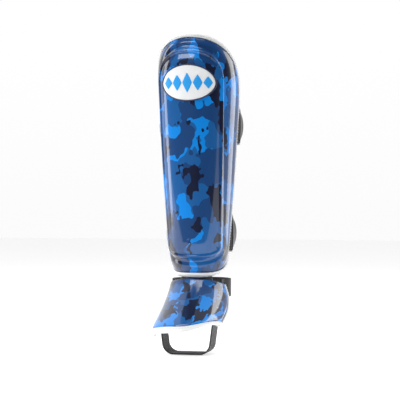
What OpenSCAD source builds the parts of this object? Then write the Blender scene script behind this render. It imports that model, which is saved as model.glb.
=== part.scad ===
// Shin and instep guard for the right leg, held at the shape it takes when worn.
// +Z runs up the leg's axis, -Y is the front of the shin, +X is the inner side of the leg.
// The origin lies on the leg's axis, level with the shin panel's lower edge.

/* [Leg that the guard fits] */
// Half width of the leg space at the ankle
ankle_half_w = 30; // [26:1:34]
// How much wider the leg space gets, each side, from ankle to calf
calf_gain = 19.5; // [15:0.5:24]
// Extra depth of the calf behind the leg's axis
calf_back = 18; // [12:1:24]
// How much the panel's top flares away from the leg, each side
top_flare = 7; // [0:0.5:9]

/* [Shin panel] */
// Height of the shin panel
panel_h = 372; // [330:2:420]
// Half width of the panel round the calf, measured along its skin
panel_half_w = 118; // [105:1:122]
// Half width of the panel just above the ankle, along its skin
panel_low_half_w = 92; // [80:1:96]
// Thickness of the padding at the panel's rim
rim_t = 9; // [7:0.5:11]
// Thickness of the side padding at the foot of the raised bar
side_t = 13.5; // [12:0.5:16]
// Thickness of the raised bar at the middle of the shin
bar_t = 26; // [22:0.5:30]
// Half width of the raised bar at the top
bar_top_half_w = 47; // [42:1:52]
// Half width of the raised bar at the bottom
bar_low_half_w = 41; // [36:1:46]
// Thickness of the raised bar at its lower end
bar_low_t = 20; // [18:0.5:26]
// Distance from the panel's top edge down to the raised bar
bar_top_gap = 27; // [22:1:36]
// Distance from the panel's lower edge up to the raised bar
bar_low_gap = 31; // [26:1:40]

/* [Skins and edges] */
// Thickness of the synthetic leather skins
skin_t = 1.4; // [1:0.1:2]
// Thickness of the inner lining cloth
lining_t = 1.2; // [0.8:0.1:1.6]
// Thickness of the soft foam against the leg
comfort_t = 4; // [3:0.5:5]
// Width of binding tape seen on each face
binding_w = 5.5; // [5:0.5:8]
// Thickness of the binding tape
binding_t = 1.5; // [1:0.1:2]
// Roll of the binding outside the edge
binding_roll = 2.2; // [1.8:0.2:3.4]

/* [Calf straps] */
// Width of a strap
strap_w = 60; // [50:1:66]
// Fullness of a strap's padding
strap_pad = 11; // [6:0.5:12]
// How far the straps' roots stand out beyond the panel's rim, pushed out by the calf
strap_lift = 5; // [1:0.5:6]
// Height of the upper strap's middle
upper_strap_z = 236; // [215:1:245]
// Height of the lower strap's middle
lower_strap_z = 66; // [60:1:84]
// Free elastic between the panel's edge and the strap
elastic_gap = 6; // [5:0.5:9]
// Thickness of a hook or loop patch
hook_t = 1.2; // [0.8:0.1:1.6]
// Clearance between the closed hook and loop patches
hook_gap = 0.4; // [0.3:0.1:0.8]
// Diameter of the piping round a strap
piping_d = 4; // [3:0.5:5]

/* [Instep] */
// How far the instep's toe edge lies in front of the leg's axis
instep_reach = 146; // [130:1:160]
// How far the toe edge lies below the shin panel
instep_drop = 76; // [68:1:84]
// Half width of the foot space at the toe edge
toe_half_w = 41; // [37:1:46]
// Thickness of the instep's padding
instep_t = 8; // [6:0.5:10]
// Gap between the shin panel's binding and the instep's top edge
ankle_gap = 3; // [2.5:0.5:5]
// Height of the sole below the shin panel's lower edge
sole_drop = 116; // [110:1:124]
// Thickness of the elastic webbing
web_t = 2; // [1.5:0.1:2.5]
// Width of the elastic under the foot
arch_web_w = 38; // [30:1:44]
// Width of the elastic round the heel
heel_web_w = 28; // [20:1:30]
// Half width of the elastic round the heel
heel_half_w = 45; // [43:0.5:50]

/* [Badge] */
// Width of the badge
badge_w = 76; // [64:1:80]
// Height of the badge
badge_h = 56; // [44:1:60]
// Height of the badge's middle above the panel's lower edge
badge_z = 296; // [286:1:300]
// Thickness of the badge above the skin
badge_t = 1.6; // [1.2:0.1:2]

/* [Hidden] */

bright = "dodgerblue";
strap_black = "#26282d";
web_black = "#17181c";

function mix(a, b, f) = a + (b - a) * f;
function power(x, p) = sign(x) * pow(abs(x), p);

// ---------------------------------------------------------------- solids from rings of points

// A closed solid through a list of closed loops, capped at both ends.
// Each loop is wound the same way and has the same, even, number of points.
module loft(loops) {
    n = len(loops[0]);
    m = len(loops);
    points = [for (loop = loops) each loop];
    walls = [for (j = [0:m - 2], i = [0:n - 1])
        let (a = j * n + i, b = j * n + (i + 1) % n)
        each [[a, b, b + n], [a, b + n, a + n]]];
    // A cap is a ladder of quads between the loop's first and second half.
    cap = [for (i = [0:n / 2 - 2])
        each (i == 0 ? [[0, 1, n - 1]] : [[i, i + 1, n - i - 1], [i, n - i - 1, n - i]])];
    last = [[n / 2 - 1, n / 2, n / 2 + 1]];
    ends = concat(cap, last);
    far = (m - 1) * n;
    polyhedron(points, concat(
        walls,
        [for (f = ends) [f[2], f[1], f[0]]],
        [for (f = ends) [f[0] + far, f[1] + far, f[2] + far]]), convexity = 8);
}

// A closed ring-shaped solid: the loops run round and join up again.
module ring_loft(loops) {
    n = len(loops[0]);
    m = len(loops);
    points = [for (loop = loops) each loop];
    polyhedron(points, [for (j = [0:m - 1], i = [0:n - 1])
        let (a = j * n + i, b = j * n + (i + 1) % n, c = (j + 1) % m * n + i, d = (j + 1) % m * n + (i + 1) % n)
        each [[a, b, d], [a, d, c]]], convexity = 8);
}

// A closed shell between two faces, each a list of rings from the edge inwards.
// Rings are symmetric, start at the top and run round, so the last one is closed by a ladder.
module shell(outer, inner) {
    n = len(outer[0]);
    m = len(outer);
    points = concat([for (ring = outer) each ring], [for (ring = inner) each ring]);
    skin = [for (j = [0:m - 2], i = [0:n - 1])
        let (a = j * n + i, b = j * n + (i + 1) % n)
        each [[a, b + n, b], [a, a + n, b + n]]];
    far = (m - 1) * n;
    ladder = [for (i = [0:n / 2 - 1])
        each (i == 0 ? [[0, n - 1, 1]]
            : i == n / 2 - 1 ? [[i, n - i, i + 1]]
            : [[i, n - i, i + 1], [i + 1, n - i, n - i - 1]])];
    face = concat(skin, [for (f = ladder) [f[0] + far, f[1] + far, f[2] + far]]);
    size = m * n;
    rim = [for (i = [0:n - 1])
        let (j = (i + 1) % n)
        each [[i, j, j + size], [i, j + size, i + size]]];
    polyhedron(points, concat(
        face,
        [for (f = face) [f[2] + size, f[1] + size, f[0] + size]],
        rim), convexity = 10);
}

// A closed sheet between an outer and an inner face, each a list of rows of points.
// Both faces are cut into triangles alike, so sheets that share a face fit it exactly.
module slab(outer, inner) {
    m = len(outer);
    n = len(outer[0]);
    size = m * n;
    points = concat([for (row = outer) each row], [for (row = inner) each row]);
    face = [for (j = [0:m - 2], i = [0:n - 2])
        let (a = j * n + i)
        each [[a, a + n, a + 1], [a + 1, a + n, a + n + 1]]];
    rim = concat(
        [for (i = [0:n - 2]) i],
        [for (j = [0:m - 2]) j * n + n - 1],
        [for (i = [n - 1:-1:1]) size - n + i],
        [for (j = [m - 1:-1:1]) j * n]);
    last = len(rim);
    walls = [for (i = [0:last - 1])
        let (a = rim[i], b = rim[(i + 1) % last])
        each [[a, b, a + size], [b, b + size, a + size]]];
    polyhedron(points, concat(
        face,
        [for (f = face) [f[2] + size, f[1] + size, f[0] + size]],
        walls), convexity = 8);
}

// ---------------------------------------------------------------- the leg that everything wraps

// Half width, front depth and back depth of the leg space at height z.
function leg_a(z) = ankle_half_w + calf_gain * sin(90 * min(1, max(0, z / (0.92 * panel_h))))
    + top_flare * pow(max(0, z / panel_h - 0.5) * 2, 2);
function leg_front(z) = leg_a(z) + 2;
function leg_back(z) = leg_a(z) + mix(10, calf_back, min(1, max(0, z / upper_strap_z)));

// A point at angle a round the leg from the front, at height z, and t outside the leg space.
// Positive angles go to the inner side of the leg, +X.
function on_leg(a, z, t) = [
    (leg_a(z) + t) * sin(a),
    -((cos(a) > 0 ? leg_front(z) : leg_back(z)) + t) * cos(a),
    z];

// Distance along the skin, u, as an angle round the leg.
function wrap(u, z) = u / (leg_a(z) + 12) * 180 / PI;

// ---------------------------------------------------------------- shin panel

cap_n = 9; // steps in a quarter of an outline's cap
side_n = 6; // steps along an outline's side
low_z = 0.184 * panel_h; // where the bottom cap meets the sides
high_z = 0.632 * panel_h; // where the top cap meets the sides

// Right half of an outline, from the top middle down to the bottom middle, as [u, z].
function half_outline(top, high, low, bottom, wide, narrow, top_n, low_n) = concat(
    [for (i = [0:cap_n]) let (a = 90 * i / cap_n)
        [wide * pow(sin(a), 2 / top_n), high + (top - high) * pow(cos(a), 2 / top_n)]],
    [for (i = [1:side_n - 1]) let (f = i / side_n)
        [mix(wide, narrow, f), mix(high, low, f)]],
    [for (i = [0:cap_n]) let (a = 90 * i / cap_n)
        [narrow * pow(cos(a), 2 / low_n), low - (low - bottom) * pow(sin(a), 2 / low_n)]]);

function whole_outline(half) = concat(
    half,
    [for (i = [len(half) - 2:-1:1]) [-half[i][0], half[i][1]]]);

panel_edge = whole_outline(half_outline(
    panel_h, high_z, low_z, 0, panel_half_w, panel_low_half_w, 2, 2.7));
bar_edge = whole_outline(half_outline(
    panel_h - bar_top_gap, 0.8 * panel_h, bar_low_gap + 17, bar_low_gap,
    bar_top_half_w, bar_low_half_w, 2.3, 2.6));
count = len(panel_edge);

// Rings from the panel's edge to its middle. Each has a place between the edge and the bar's outline
// (0 to 1) or between that outline and the middle line (1 to 2), and how far the outer face has
// risen there from the side padding (0) to the bar's full thickness (1).
rings = [
    [0.45, -0.04],
    [0.86, 0],
    [0.94, 0.1],
    [1, 0.78],
    [1.06, 0.84],
    [1.12, 0.77],
    [1.3, 0.92],
    [1.55, 0.98],
    [1.8, 1]
];
function bar_full(z) = mix(bar_low_t, bar_t, smooth(z / (0.7 * panel_h)));
function padding(rise, z) = side_t + rise * (bar_full(z) - side_t);

function unit(v) = v / norm(v);
// The point of the outline k, d inwards from the edge; d under 0 is outside it.
function from_edge(k, d) = panel_edge[k] + d * unit(bar_edge[k] - panel_edge[k]);
function spine(k) = [0, mix(0.2 * panel_h, 0.8 * panel_h,
    min(1, max(0, (bar_edge[k][1] - 0.12 * panel_h) / (0.78 * panel_h))))];
function at_ring(k, f) = f <= 1
    ? mix(panel_edge[k], bar_edge[k], f)
    : mix(bar_edge[k], spine(k), f - 1);
function on_panel(p, t) = on_leg(wrap(p[0], p[1]), p[1], t);

margin_t = rim_t + 1.5;
// One face between two layers of the panel, as rings from its edge inwards.
function sheet(kind) = concat(
    [[for (k = [0:count - 1]) on_panel(panel_edge[k], level(kind, rim_t))]],
    [[for (k = [0:count - 1]) on_panel(from_edge(k, binding_w), level(kind, margin_t))]],
    [for (r = rings) [for (k = [0:count - 1])
        let (p = at_ring(k, r[0])) on_panel(p, level(kind, padding(r[1], p[1])))]]);
// Height of each layer's outer face, where the whole padding is t thick.
function level(kind, t) =
    kind == 0 ? 0 :
    kind == 1 ? lining_t :
    kind == 2 ? lining_t + comfort_t * min(1, t / side_t) :
    kind == 3 ? t - skin_t : t;

module shin_cover() { color(bright) shell(sheet(4), sheet(3)); }
module shin_impact_foam() { color("dimgray") shell(sheet(3), sheet(2)); }
module shin_comfort_foam() { color("lightgray") shell(sheet(2), sheet(1)); }
module shin_lining() { color("#24262b") shell(sheet(1), sheet(0)); }

// The tape folded over the panel's edge, round the whole outline.
module shin_binding() {
    color("white") ring_loft([for (k = [count - 1:-1:0])
        let (edge = panel_edge[k], inside = from_edge(k, binding_w),
            lip = from_edge(k, -binding_t), nose = from_edge(k, -binding_roll))
        [
            on_panel(inside, margin_t),
            on_panel(edge, rim_t),
            on_panel(edge, 0),
            on_panel(inside, 0),
            on_panel(inside, -binding_t * 0.6),
            on_panel(lip, -binding_t * 0.6),
            on_panel(nose, rim_t * 0.28),
            on_panel(nose, rim_t * 0.72),
            on_panel(lip, rim_t + binding_t),
            on_panel(inside, margin_t + binding_t)
        ]]);
}

// ---------------------------------------------------------------- badge

badge_n = 32; // steps round the badge
badge_sunk = 1; // the badge is pressed this deep into the padding

// Height of the bar's face under the badge, which falls away to both sides.
function badge_seat(u) = bar_t - 2 * pow(abs(u) / 38, 3);

function lens(a, f) = [
    f * badge_w / 2 * cos(a),
    badge_z + f * badge_h / 2 * power(sin(a), 1.15)];
function lens_at(a, f, t) = let (p = lens(a, f)) on_panel(p, badge_seat(p[0]) + t);
function lens_ring(f, t) = [for (i = [0:badge_n - 1]) lens_at(90 - 360 * i / badge_n, f, t)];

module badge_patch() {
    color("white") shell(
        [for (f = [0.93, 0.7, 0.45, 0.2]) lens_ring(f, badge_t)],
        [for (f = [0.93, 0.7, 0.45, 0.2]) lens_ring(f, -badge_sunk)]);
}

// The dark raised line round the badge.
module badge_rim() {
    color("midnightblue") ring_loft([for (i = [badge_n - 1:-1:0])
        let (a = 90 - 360 * i / badge_n)
        [
            lens_at(a, 0.93, -badge_sunk),
            lens_at(a, 0.93, badge_t + 0.4),
            lens_at(a, 1, badge_t + 0.4),
            lens_at(a, 1, -badge_sunk)
        ]]);
}

// A plain device: a row of five lozenges, tallest in the middle.
lozenge_w = 13;
lozenge_gap = 1.2;
module lozenge(at, height) {
    half = lozenge_w / 2 - lozenge_gap / 2;
    loft([for (s = [-1, -0.5, 0, 0.5, 1])
        let (u = at + s * half, h = max(0.8, height / 2 * (1 - abs(s))), low = badge_seat(u) + badge_t)
        [
            on_panel([u, badge_z + h], low),
            on_panel([u, badge_z + h], low + 0.7),
            on_panel([u, badge_z - h], low + 0.7),
            on_panel([u, badge_z - h], low)
        ]]);
}
module badge_emblem() {
    color("deepskyblue") for (i = [-2:2]) lozenge(i * lozenge_w, 30 - 6 * abs(i));
}

// ---------------------------------------------------------------- calf straps

// A strap's own angles round the leg: it starts behind the inner edge of the panel, passes the calf,
// and its tab lies on the outer side of the panel.
function edge_angle(z) = wrap(mix(panel_low_half_w, panel_half_w,
    min(1, max(0, (z - low_z) / (high_z - low_z)))), z);
function mm_angle(d, z) = d / (leg_a(z) + 15) * 180 / PI;
function root_angle(z) = edge_angle(z) + mm_angle(binding_roll + elastic_gap, z);
tab_angle = 268; // where the tab ends, on the panel's outer side

strap_skin = 1.2; // leather and lining of a strap
strap_n = 20; // steps along a strap
tab_in = side_t + hook_gap + 2 * hook_t; // inner face of the tab, over the panel

// Height of the strap's inner face above the leg, at angle a.
function strap_in(a, z) =
    let (root = root_angle(z), wing = 360 - edge_angle(z))
    a < 180 ? mix(rim_t + strap_lift, 1.5, smooth((a - root) / (180 - root)))
    : mix(1.5, tab_in, smooth((a - 180) / (wing - 8 - 180)));
function smooth(f) = let (g = min(1, max(0, f))) g * g * (3 - 2 * g);

// How full the padding is at angle a: pinched at the sewn end, flat in the tab over the panel.
function strap_full(a, z) = min(
    mix(0.15, 1, smooth((a - root_angle(z)) / 10)),
    mix(1, 0.12, smooth((a - 205) / (355 - edge_angle(z) - 205))));
// Half width of the strap at angle a: the tab's corners are round.
tab_round = 14; // degrees over which the tab rounds off
function strap_half(a) = (strap_w / 2 - piping_d / 2)
    * (a > tab_angle - tab_round ? sqrt(max(0.12, 1 - pow((a - tab_angle + tab_round) / tab_round, 2.4))) : 1);

// Section through the strap at angle a: heights across it, with the face at level lo or hi.
across = [-1, -0.8, -0.4, 0, 0.4, 0.8, 1];
function pillow(s) = 1 - pow(abs(s), 2.6);
function strap_level(kind, a, z, s) =
    let (base = strap_in(a, z), foam = base + strap_skin,
        top = foam + 0.4 + strap_pad * strap_full(a, z) * pillow(s))
    kind == 0 ? base : kind == 1 ? foam : kind == 2 ? top : top + strap_skin;
function strap_face(kind, a, z) = [for (s = across)
    on_strap(a, z, s * strap_half(a), strap_level(kind, a, z, s))];
// A strap runs level, so its heights are taken over the leg at its own middle.
function on_strap(a, z, h, t) = let (p = on_leg(a, z, t)) [p[0], p[1], z + h];
function strap_angles(z) = [for (i = [0:strap_n]) mix(root_angle(z), tab_angle, i / strap_n)];

module strap_layer(z, lo, hi, tint) {
    color(tint) slab(
        [for (a = strap_angles(z)) strap_face(hi, a, z)],
        [for (a = strap_angles(z)) strap_face(lo, a, z)]);
}

// The piping is a cord sewn along both edges and round the tab.
function strap_path(z) = concat(
    [for (a = strap_angles(z)) [a, 1]],
    [for (i = [strap_n:-1:0]) [strap_angles(z)[i], -1]]);
module strap_piping(z) {
    r = piping_d / 2;
    color("white") loft([for (q = strap_path(z))
        let (a = q[0], edge = q[1] * strap_half(a),
            d = r * strap_full_edge(a, z), mid = strap_in(a, z) + strap_skin + 0.2, at_tab = a == tab_angle)
        [for (i = [0:7]) let (c = 45 * i)
            on_strap(a + (at_tab ? mm_angle(d * (1 + cos(c)), z) : 0), z,
                edge + q[1] * (at_tab ? -d : d * (0.95 + cos(c))), mid + d * sin(c))]]);
}
function strap_full_edge(a, z) = mix(0.6, 1, strap_full(a, z));

// Hook patch inside the tab, and the loop patch that it closes on.
patch_half = 0.34 * strap_w;
function patch_angles(z) = [for (i = [0:6]) mix(360 - edge_angle(z) + 8, tab_angle - 3, i / 6)];
module hook_patch(z) {
    color("#202226") loft([for (a = patch_angles(z))
        let (t = strap_in(a, z), h = min(patch_half, strap_half(a) - 1))
        [
            on_strap(a, z, h, t),
            on_strap(a, z, -h, t),
            on_strap(a, z, -h, t - hook_t),
            on_strap(a, z, h, t - hook_t)
        ]]);
}
module loop_patch(z) {
    color("#2a2d33") loft([for (a = patch_angles(z))
        let (t = tab_in - hook_t - hook_gap, h = patch_half + 2)
        [
            on_strap(a, z, h, t),
            on_strap(a, z, -h, t),
            on_strap(a, z, -h, t - hook_t - 1.2),
            on_strap(a, z, h, t - hook_t - 1.2)
        ]]);
}

// Elastic webbing from inside the panel's edge to the strap's sewn end.
module strap_elastic(z) {
    root = root_angle(z);
    first = edge_angle(z) - mm_angle(16, z);
    half = strap_w / 2 - 4;
    steps = 8;
    color(web_black) loft([for (i = [0:steps])
        let (f = i / steps, a = mix(first, root - mm_angle(0.4, z), f),
            t = mix(-2.6 - binding_t * 0.6, strap_in(root, z) + strap_skin, smooth(2.2 * f - 1.2)))
        [
            on_strap(a, z, half, t + web_t),
            on_strap(a, z, -half, t + web_t),
            on_strap(a, z, -half, t),
            on_strap(a, z, half, t)
        ]]);
}

module upper_strap_cover() { strap_layer(upper_strap_z, 2, 3, strap_black); }
module upper_strap_foam() { strap_layer(upper_strap_z, 1, 2, "gray"); }
module upper_strap_lining() { strap_layer(upper_strap_z, 0, 1, "#24262b"); }
module upper_strap_piping() { strap_piping(upper_strap_z); }
module upper_hook_patch() { hook_patch(upper_strap_z); }
module upper_loop_patch() { loop_patch(upper_strap_z); }
module upper_elastic() { strap_elastic(upper_strap_z); }
module lower_strap_cover() { strap_layer(lower_strap_z, 2, 3, strap_black); }
module lower_strap_foam() { strap_layer(lower_strap_z, 1, 2, "gray"); }
module lower_strap_lining() { strap_layer(lower_strap_z, 0, 1, "#24262b"); }
module lower_strap_piping() { strap_piping(lower_strap_z); }
module lower_hook_patch() { hook_patch(lower_strap_z); }
module lower_loop_patch() { loop_patch(lower_strap_z); }
module lower_elastic() { strap_elastic(lower_strap_z); }

// ---------------------------------------------------------------- instep

side_limit = 96; // how far round the foot the instep reaches, in degrees
top_y = -(leg_front(0) + rim_t + 1);
top_z = -(binding_roll + ankle_gap);
bend = [top_y - 22, top_z - 26]; // pulls the instep's top line into the ankle's hollow
tilt = 15; // the instep's level sections lean down to the back

// The instep's top line, from the ankle, v = 0, to the toe edge, v = 1, as [y, z].
function ridge_line(v) =
    pow(1 - v, 2) * [top_y, top_z] + 2 * v * (1 - v) * bend + pow(v, 2) * [-instep_reach, -instep_drop];
function foot_half(v) = mix(ankle_half_w + 5, toe_half_w, v) + 4 * sin(180 * v);
function foot_depth(v) = mix(ankle_half_w + 3, 30, v) + 28 * sin(180 * min(1, max(0, v)));
// The inner corner of the toe edge is cut back.
function trimmed(v, a) = v * (1 - 0.2 * pow(max(0, sin(a)), 2));
// A point of the instep: v along the foot, a round it, t outside the foot space.
function on_instep(v, a, t) =
    let (w = trimmed(v, a), line = ridge_line(w), back = -t + (foot_depth(w) + t) * (1 - cos(a)))
    [(foot_half(w) + t) * sin(a), line[0] + back * cos(tilt), line[1] - back * sin(tilt)];

edge_v = 8 / 130; // the binding's width as a share of the instep's length
edge_a = 9; // and as an angle round the foot
v_steps = [0, 0.15, 0.32, 0.5, 0.68, 0.82, 1 - edge_v, 1];
a_steps = [for (a = [-side_limit, -side_limit + edge_a, -72, -54, -36, -18, 0, 18, 36, 54, 72,
    side_limit - edge_a, side_limit]) a];

// Padding thickness of the instep: thinner along its edges.
function instep_full(v, a) = instep_t * mix(0.72, 1, smooth(min((1.02 - v) / 0.2, (side_limit + 4 - abs(a)) / 30)));
function instep_level(kind, v, a) = let (t = instep_full(v, a))
    kind == 0 ? 0 : kind == 1 ? lining_t : kind == 2 ? t - skin_t : t;

module instep_layer(lo, hi, tint) {
    color(tint) slab(
        [for (v = v_steps) [for (a = a_steps) on_instep(v, a, instep_level(hi, v, a))]],
        [for (v = v_steps) [for (a = a_steps) on_instep(v, a, instep_level(lo, v, a))]]);
}
module instep_cover() { instep_layer(2, 3, bright); }
module instep_foam() { instep_layer(1, 2, "dimgray"); }
module instep_lining() { instep_layer(0, 1, "#24262b"); }

// The tape runs down one side, round the toe edge and up the other side.
instep_route = concat(
    [for (v = [0, 0.15, 0.32, 0.5, 0.68, 0.82]) [v, -side_limit, v, -side_limit + edge_a, v, -side_limit - 4]],
    [[1, -side_limit, 1 - edge_v, -side_limit + edge_a, 1 + edge_v * 0.35, -side_limit - 4]],
    [for (a = [-72, -54, -36, -18, 0, 18, 36, 54, 72]) [1, a, 1 - edge_v, a, 1 + edge_v * 0.45, a]],
    [[1, side_limit, 1 - edge_v, side_limit - edge_a, 1 + edge_v * 0.35, side_limit + 4]],
    [for (v = [0.82, 0.68, 0.5, 0.32, 0.15, 0]) [v, side_limit, v, side_limit - edge_a, v, side_limit + 4]]);
module instep_binding() {
    color("white") loft([for (q = instep_route)
        let (t = instep_full(q[0], q[1]), tm = instep_full(q[2], q[3]))
        [
            on_instep(q[0], q[1], 0),
            on_instep(q[0], q[1], t),
            on_instep(q[2], q[3], tm),
            on_instep(q[2], q[3], tm + binding_t),
            on_instep(q[4], q[5], t + binding_t * 0.6),
            on_instep(q[4], q[5], t * 0.5),
            on_instep(q[4], q[5], -binding_t * 0.4),
            on_instep(q[2], q[3], -binding_t),
            on_instep(q[2], q[3], -binding_t * 0.5),
            on_instep(q[2], q[3], 0)
        ]]);
}

// Black gusset cloth inside the ankle joint, from the shin panel's lining to the instep's.
module ankle_gusset() {
    g = 1.2;
    rows = [[0, 14], [0, 5]];
    spread = [for (i = [0:12]) mix(-58, 58, i / 12)];
    clear = binding_t + 0.4;
    color(web_black) loft(concat(
        [for (r = rows) concat(
            [for (a = spread) on_leg(a, r[1], -clear)],
            [for (i = [12:-1:0]) on_leg(spread[i], r[1], -clear - g)])],
        [for (v = [0.01, 0.1]) concat(
            [for (a = spread) on_instep(v, a, -clear)],
            [for (i = [12:-1:0]) on_instep(v, spread[i], -clear - g)])]));
}

// ---------------------------------------------------------------- elastics of the instep

// Round the heel: a level band whose ends are sewn inside the instep's rear edges.
heel_z = top_z - 14;
heel_back = leg_back(0) + 12;
heel_in = ankle_half_w + 7; // half width at the sewn ends
heel_n = 20;
// The band's outer line, from the outer side's end round the heel, as [x, y].
heel_line = concat(
    [[-heel_in, -17], [-heel_in, -10], [-heel_in - 1.5, -4], [-heel_half_w + 1.5, 3]],
    [for (i = [0:heel_n]) let (a = 180 - 180 * i / heel_n) [heel_half_w * cos(a), 9 + (heel_back - 9) * sin(a)]],
    [[heel_half_w - 1.5, 3], [heel_in + 1.5, -4], [heel_in, -10], [heel_in, -17]]);
module heel_strap() {
    n = len(heel_line);
    color(web_black) loft([for (i = [0:n - 1])
        let (p = heel_line[i], d = heel_line[min(n - 1, i + 1)] - heel_line[max(0, i - 1)],
            q = p + web_t * [d[1], -d[0]] / norm(d))
        [
            [p[0], p[1], heel_z - heel_web_w / 2],
            [p[0], p[1], heel_z + heel_web_w / 2],
            [q[0], q[1], heel_z + heel_web_w / 2],
            [q[0], q[1], heel_z - heel_web_w / 2]
        ]]);
}

// Under the foot: a U-shaped band that hangs from both sides of the instep.
arch_y = -0.47 * instep_reach;
arch_top = -instep_drop + 16;
arch_half = foot_half(0.75) + 0.6;
arch_round = 18;
arch_sole = arch_half - 5; // half width at the sole
function arch_u(in) = let (r = arch_round - in) concat(
    [[-arch_half + in, arch_top]],
    [for (i = [0:6]) let (a = 180 + 15 * i)
        [-arch_sole + arch_round + r * cos(a), -sole_drop + arch_round + r * sin(a)]],
    [for (i = [0:6]) let (a = 270 + 15 * i)
        [arch_sole - arch_round + r * cos(a), -sole_drop + arch_round + r * sin(a)]],
    [[arch_half - in, arch_top]]);
module arch_strap() {
    out = arch_u(0);
    inside = arch_u(web_t);
    color(web_black) loft([for (i = [0:len(out) - 1]) [
        [out[i][0], arch_y - arch_web_w / 2, out[i][1]],
        [out[i][0], arch_y + arch_web_w / 2, out[i][1]],
        [inside[i][0], arch_y + arch_web_w / 2, inside[i][1]],
        [inside[i][0], arch_y - arch_web_w / 2, inside[i][1]]
    ]]);
}

// Patches sewn over the ends of the elastics, inside the instep.
tab_t = 1.2;
module arch_strap_tabs() {
    color("#2b2d33") for (side = [-1, 1])
        translate([side * (arch_half - web_t - tab_t / 2 - 0.4), arch_y, arch_top - 5])
            cube([tab_t, arch_web_w - 4, 10], center = true);
}
module heel_strap_tabs() {
    color("#2b2d33") for (side = [-1, 1])
        translate([side * (heel_in - web_t - tab_t / 2), -13.5, heel_z - 3])
            cube([tab_t, 7, heel_web_w - 8], center = true);
}

shin_cover();
shin_impact_foam();
shin_comfort_foam();
shin_lining();
shin_binding();
badge_patch();
badge_rim();
badge_emblem();
upper_loop_patch();
lower_loop_patch();
upper_elastic();
lower_elastic();
ankle_gusset();
upper_strap_cover();
upper_strap_foam();
upper_strap_lining();
upper_strap_piping();
upper_hook_patch();
lower_strap_cover();
lower_strap_foam();
lower_strap_lining();
lower_strap_piping();
lower_hook_patch();
instep_cover();
instep_foam();
instep_lining();
instep_binding();
heel_strap();
heel_strap_tabs();
arch_strap();
arch_strap_tabs();
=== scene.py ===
import math
import bmesh
import bpy
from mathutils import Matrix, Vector


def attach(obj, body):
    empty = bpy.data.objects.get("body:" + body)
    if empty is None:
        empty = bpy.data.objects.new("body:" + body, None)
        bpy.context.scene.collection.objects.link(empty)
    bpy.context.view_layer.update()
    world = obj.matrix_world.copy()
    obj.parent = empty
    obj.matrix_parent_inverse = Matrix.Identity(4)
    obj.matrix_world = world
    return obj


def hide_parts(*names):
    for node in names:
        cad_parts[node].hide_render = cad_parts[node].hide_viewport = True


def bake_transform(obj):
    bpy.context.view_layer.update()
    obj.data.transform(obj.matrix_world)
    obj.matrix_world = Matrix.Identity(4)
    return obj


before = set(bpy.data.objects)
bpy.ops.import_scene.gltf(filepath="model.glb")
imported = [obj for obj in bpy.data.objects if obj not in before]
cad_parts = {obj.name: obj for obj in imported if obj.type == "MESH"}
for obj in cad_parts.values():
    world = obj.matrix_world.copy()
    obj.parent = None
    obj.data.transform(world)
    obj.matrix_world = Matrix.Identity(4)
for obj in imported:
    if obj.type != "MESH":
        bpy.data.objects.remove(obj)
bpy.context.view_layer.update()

collection = bpy.context.scene.collection


# ------------------------------------------------------------------ moulded shin panel
# The panel is a sheet of firm foam under printed synthetic leather, pressed in a hot mould so that a
# raised bar with a beaded outline stands over the shin bone. Its sides wrap the calf.
panel_h = 0.372
panel_half, panel_low_half = 0.118, 0.092   # half widths along the skin, at the calf and above the ankle
rim_t, side_t = 0.009, 0.0135
bar_t, bar_low_t = 0.026, 0.020
low_z, high_z = 0.184 * panel_h, 0.632 * panel_h   # the sides are straight between these heights
upper_z, lower_z = 0.236, 0.066             # the straps' middles; the calf is deepest at the upper one
mid_t = 0.012                               # lengths along the skin are measured this far off the leg
binding_w, binding_t, binding_roll = 0.0055, 0.0015, 0.0022
lining_t = 0.0012


def mix(a, b, f):
    return a + (b - a) * f


def smooth(f):
    f = min(1.0, max(0.0, f))
    return f * f * (3 - 2 * f)


def leg_half(z):
    return (0.030 + 0.0195 * math.sin(math.pi / 2 * min(1, max(0, z / (0.92 * panel_h))))
            + 0.007 * (max(0, z / panel_h - 0.5) * 2) ** 2)


def leg_back(z):
    return leg_half(z) + mix(0.010, 0.018, min(1, max(0, z / upper_z)))


def on_leg(a, z, t):
    """The point t outside the leg space, at angle a round it from the front and height z."""
    depth = leg_half(z) + 0.002 if math.cos(a) > 0 else leg_back(z)
    return ((leg_half(z) + t) * math.sin(a), -(depth + t) * math.cos(a), z)


def wrap(u, z):
    return u / (leg_half(z) + mid_t)


def on_panel(u, z, t):
    return on_leg(wrap(u, z), z, t)


def outline(top, high, low, bottom, wide, narrow, top_n, low_n, cap=30, side=34):
    """A panel outline as (u, z) from the top middle down the inner side and back up the outer side."""
    half = [(wide * math.sin(math.pi / 2 * i / cap) ** (2 / top_n),
             high + (top - high) * abs(math.cos(math.pi / 2 * i / cap)) ** (2 / top_n))
            for i in range(cap + 1)]
    half[0] = (0.0, top)
    half += [(mix(wide, narrow, i / side), mix(high, low, i / side)) for i in range(1, side)]
    half += [(narrow * abs(math.cos(math.pi / 2 * i / cap)) ** (2 / low_n),
              low - (low - bottom) * math.sin(math.pi / 2 * i / cap) ** (2 / low_n)) for i in range(cap)]
    half += [(0.0, bottom)]
    return half + [(-u, z) for u, z in half[-2:0:-1]]


panel_edge = outline(panel_h, high_z, low_z, 0.0, panel_half, panel_low_half, 2, 2.7)
bar_edge = outline(panel_h - 0.027, 0.8 * panel_h, 0.048, 0.031, 0.047, 0.041, 2.3, 2.6)
rounds = len(panel_edge)


def toward(k, d):
    """The point d inwards from the panel's edge, on the line to the bar's outline."""
    (u0, z0), (u1, z1) = panel_edge[k], bar_edge[k]
    far = math.hypot(u1 - u0, z1 - z0)
    return (u0 + (u1 - u0) * d / far, z0 + (z1 - z0) * d / far)


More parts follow.
